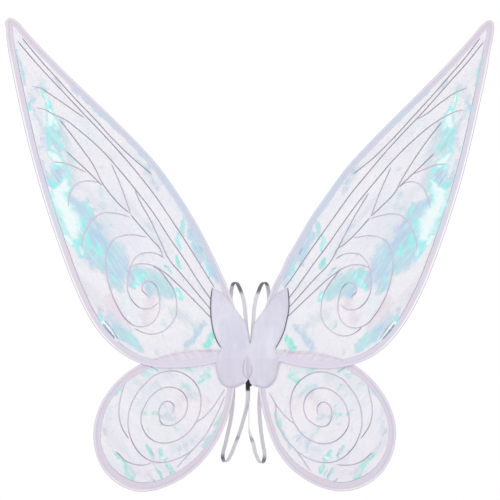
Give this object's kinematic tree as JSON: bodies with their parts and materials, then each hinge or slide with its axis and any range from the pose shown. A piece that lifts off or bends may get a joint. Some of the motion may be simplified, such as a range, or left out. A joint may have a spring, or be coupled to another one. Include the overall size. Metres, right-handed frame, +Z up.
{
  "type": "fairy wings",
  "caption": "Wearable fairy wings: wired iridescent film upper and lower wings with raised spiral veins, a padded fabric centre that folds, and elastic arm loops.",
  "frame": {"origin": "the middle of the wearer's face of the centre pad's mount, in the plane of that face, with Z measured from 10 mm below the bottom of the V notch", "axes": "+Z up as worn, +Y towards the wearer's back, -X towards the wearer's left"},
  "size_m": [0.8802, 0.0874, 0.8529],
  "materials": {
    "film": "clear iridescent film, pearl white with cyan and pink shifts",
    "veins": "raised pearl-mauve line",
    "wire": "bright drawn wire",
    "fabric_cover": "lavender-grey matt woven fabric",
    "fabric_centre": "lavender-grey matt woven fabric, gathered",
    "edging": "dark grey overlocked edge",
    "tape": "woven cotton tape",
    "thread": "polyester thread",
    "stiffener": "thin flexible plastic sheet",
    "elastic": "silver-grey woven elastic with a satin sheen"
  },
  "bodies": {
    "root": {"center_back_pad": "fabric_centre", "center_gather": "fabric_centre", "spine_tape": "tape", "strap_bar_tacks": "thread", "left_strap_anchor": "elastic", "right_strap_anchor": "elastic"},
    "left_half": {"left_front_cover": "fabric_cover", "left_back_cover": "fabric_cover", "left_cover_edging": "edging", "left_root_plate": "stiffener", "left_wire_wraps": "tape", "left_upper_wire": "wire", "left_lower_wire": "wire", "left_upper_film": "film", "left_lower_film": "film", "left_upper_veins": "veins", "left_lower_veins": "veins"},
    "left_arm_strap": {"left_strap": "elastic"},
    "right_half": {"right_front_cover": "fabric_cover", "right_back_cover": "fabric_cover", "right_cover_edging": "edging", "right_root_plate": "stiffener", "right_wire_wraps": "tape", "right_upper_wire": "wire", "right_lower_wire": "wire", "right_upper_film": "film", "right_lower_film": "film", "right_upper_veins": "veins", "right_lower_veins": "veins"},
    "right_arm_strap": {"right_strap": "elastic"}
  },
  "joints": [
    {"name": "left_wing_fold", "type": "hinge", "parent": "root", "child": "left_half", "pos_m": [-0.011, -0.0089, 0.02], "axis": [0, 0, 1], "range_deg": [-8, 85]},
    {"name": "left_strap_swing", "type": "hinge", "parent": "root", "child": "left_arm_strap", "pos_m": [-0.0045, -0.0036, -0.02], "axis": [0, 0, 1], "range_deg": [-30, 30]},
    {"name": "right_wing_fold", "type": "hinge", "parent": "root", "child": "right_half", "pos_m": [0.011, -0.0089, 0.02], "axis": [0, 0, -1], "range_deg": [-8, 85]},
    {"name": "right_strap_swing", "type": "hinge", "parent": "root", "child": "right_arm_strap", "pos_m": [0.0045, -0.0036, -0.02], "axis": [0, 0, -1], "range_deg": [-30, 30]}
  ]
}
